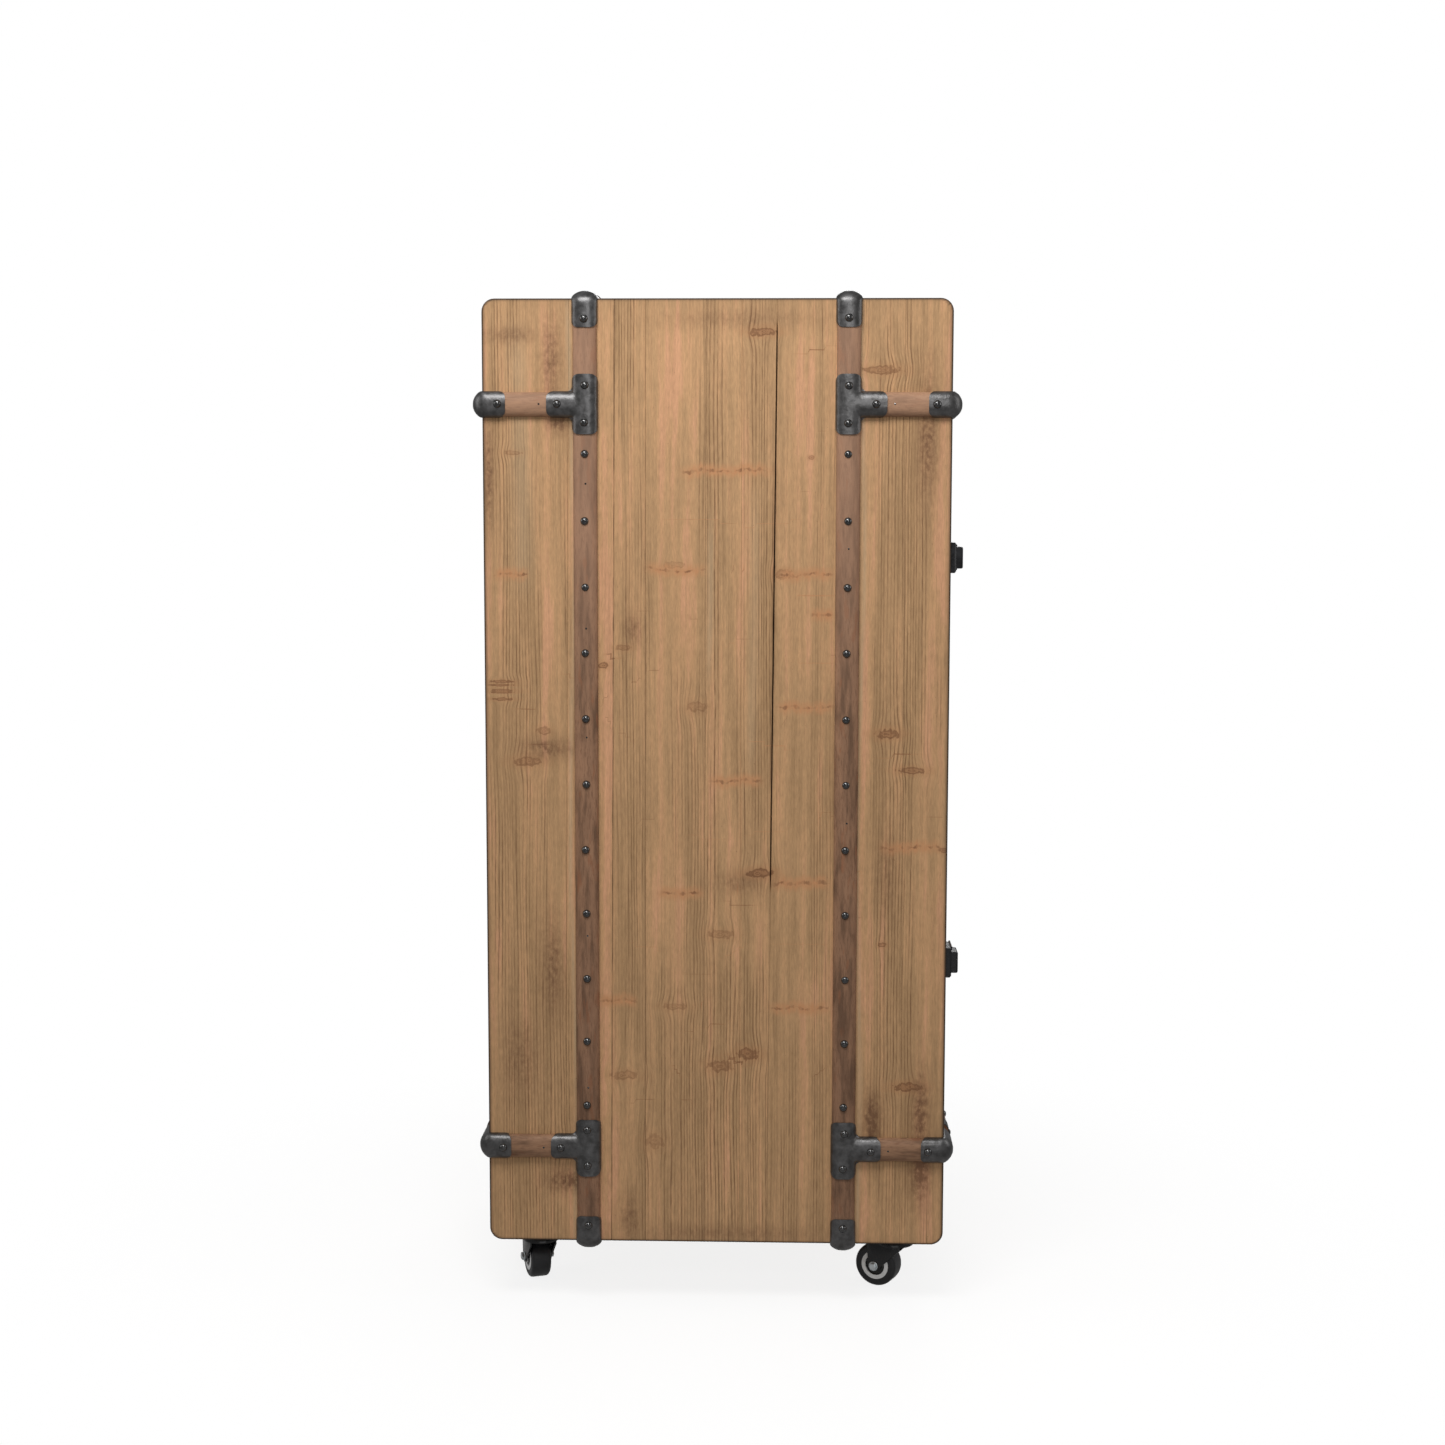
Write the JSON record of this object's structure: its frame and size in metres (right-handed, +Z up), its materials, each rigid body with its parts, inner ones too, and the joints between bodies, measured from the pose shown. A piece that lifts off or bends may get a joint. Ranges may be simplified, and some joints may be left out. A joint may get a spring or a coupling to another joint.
{
  "type": "armoire",
  "caption": "Trunk-style wooden armoire on swivel casters, with battens and iron straps, a side-hinged tray door and draw latches.",
  "frame": {"origin": "on the floor, under the middle of the object's bounding box", "axes": "+Z up; the door faces -Y; +X is the latch side"},
  "size_m": [0.6118, 0.5322, 1.2936],
  "materials": {
    "fir_board": "worn, oiled fir boards with strong grain and knots",
    "batten_wood": "reddish brown stained half-round battens",
    "inner_board": "plain matte boards",
    "forged_iron": "dark gunmetal sheet iron with soft highlights",
    "latch_steel": "satin black",
    "hinge_steel": "dark gunmetal",
    "rod_steel": "satin dark steel",
    "caster_steel": "gloss black enamel",
    "caster_tyre": "black rubber tyre on a nylon hub with a light grey ring"
  },
  "bodies": {
    "carcass": {"back_panel": "inner_board", "base_board": "inner_board", "carcass_bottom": "fir_board", "carcass_top": "fir_board", "caster_plate_front_left": "caster_steel", "caster_plate_front_right": "caster_steel", "caster_plate_rear_left": "caster_steel", "caster_plate_rear_right": "caster_steel", "hanging_rod": "rod_steel", "hat_shelf": "inner_board", "hinge_leaf_fixed_lower": "hinge_steel", "hinge_leaf_fixed_upper": "hinge_steel", "latch_keeper_lower": "latch_steel", "latch_keeper_upper": "latch_steel", "left_side": "fir_board", "right_side": "fir_board", "rod_socket_left": "rod_steel", "rod_socket_right": "rod_steel", "side_batten_lower_left": "batten_wood", "side_batten_lower_right": "batten_wood", "side_batten_upper_left": "batten_wood", "side_batten_upper_right": "batten_wood", "top_batten_left": "batten_wood", "top_batten_right": "batten_wood"},
    "door": {"corner_cap_lower_left": "forged_iron", "corner_cap_lower_right": "forged_iron", "corner_cap_upper_left": "forged_iron", "corner_cap_upper_right": "forged_iron", "cross_batten_lower_left": "batten_wood", "cross_batten_lower_right": "batten_wood", "cross_batten_upper_left": "batten_wood", "cross_batten_upper_right": "batten_wood", "door_batten_left": "batten_wood", "door_batten_right": "batten_wood", "door_frame": "fir_board", "door_panel": "fir_board", "edge_cap_bottom_left": "forged_iron", "edge_cap_bottom_right": "forged_iron", "edge_cap_top_left": "forged_iron", "edge_cap_top_right": "forged_iron", "hinge_leaf_door_lower": "hinge_steel", "hinge_leaf_door_upper": "hinge_steel", "latch_tray_lower": "latch_steel", "latch_tray_upper": "latch_steel", "tee_lower_left": "forged_iron", "tee_lower_right": "forged_iron", "tee_upper_left": "forged_iron", "tee_upper_right": "forged_iron"},
    "lever_lower": {"latch_lever_lower": "latch_steel"},
    "bail_lower": {"latch_bail_lower": "latch_steel"},
    "lever_upper": {"latch_lever_upper": "latch_steel"},
    "bail_upper": {"latch_bail_upper": "latch_steel"},
    "caster_front_left": {"caster_fork_front_left": "caster_steel"},
    "wheel_front_left": {"caster_wheel_front_left": "caster_tyre"},
    "caster_front_right": {"caster_fork_front_right": "caster_steel"},
    "wheel_front_right": {"caster_wheel_front_right": "caster_tyre"},
    "caster_rear_left": {"caster_fork_rear_left": "caster_steel"},
    "wheel_rear_left": {"caster_wheel_rear_left": "caster_tyre"},
    "caster_rear_right": {"caster_fork_rear_right": "caster_steel"},
    "wheel_rear_right": {"caster_wheel_rear_right": "caster_tyre"}
  },
  "joints": [
    {"name": "door_hinge", "type": "hinge", "parent": "carcass", "child": "door", "pos_m": [-0.2972, -0.20485, 0.684], "axis": [0, 0, -1], "range_deg": [0, 110]},
    {"name": "lever_lower_turn", "type": "hinge", "parent": "door", "child": "lever_lower", "pos_m": [0.2989, -0.21735, 0.452], "axis": [0, 0, 1], "range_deg": [0, 120]},
    {"name": "bail_lower_turn", "type": "hinge", "parent": "lever_lower", "child": "bail_lower", "pos_m": [0.2989, -0.22535, 0.452], "axis": [0, 0, 1], "range_deg": [-120, 0]},
    {"name": "lever_upper_turn", "type": "hinge", "parent": "door", "child": "lever_upper", "pos_m": [0.2989, -0.21735, 0.965], "axis": [0, 0, 1], "range_deg": [0, 120]},
    {"name": "bail_upper_turn", "type": "hinge", "parent": "lever_upper", "child": "bail_upper", "pos_m": [0.2989, -0.22535, 0.965], "axis": [0, 0, 1], "range_deg": [-120, 0]},
    {"name": "swivel_front_left", "type": "hinge", "parent": "carcass", "child": "caster_front_left", "pos_m": [-0.2366, -0.17385, 0.068], "axis": [0, 0, 1], "continuous": true},
    {"name": "spin_front_left", "type": "hinge", "parent": "caster_front_left", "child": "wheel_front_left", "pos_m": [-0.24464, -0.15177, 0.0285], "axis": [-0.9397, -0.342, 0], "continuous": true},
    {"name": "swivel_front_right", "type": "hinge", "parent": "carcass", "child": "caster_front_right", "pos_m": [0.2334, -0.17385, 0.068], "axis": [0, 0, 1], "continuous": true},
    {"name": "spin_front_right", "type": "hinge", "parent": "caster_front_right", "child": "wheel_front_right", "pos_m": [0.2121, -0.16392, 0.0285], "axis": [-0.4226, -0.9063, 0], "continuous": true},
    {"name": "swivel_rear_left", "type": "hinge", "parent": "carcass", "child": "caster_rear_left", "pos_m": [-0.2366, 0.21015, 0.068], "axis": [0, 0, 1], "continuous": true},
    {"name": "spin_rear_left", "type": "hinge", "parent": "caster_rear_left", "child": "wheel_rear_left", "pos_m": [-0.22557, 0.2309, 0.0285], "axis": [-0.8829, 0.4695, 0], "continuous": true},
    {"name": "swivel_rear_right", "type": "hinge", "parent": "carcass", "child": "caster_rear_right", "pos_m": [0.2334, 0.21015, 0.068], "axis": [0, 0, 1], "continuous": true},
    {"name": "spin_rear_right", "type": "hinge", "parent": "caster_rear_right", "child": "wheel_rear_right", "pos_m": [0.22237, 0.2309, 0.0285], "axis": [-0.8829, -0.4695, 0], "continuous": true}
  ],
  "couplings": [
    {"joint": "bail_lower_turn", "follows": "lever_lower_turn", "ratio": -1},
    {"joint": "bail_upper_turn", "follows": "lever_upper_turn", "ratio": -1}
  ]
}
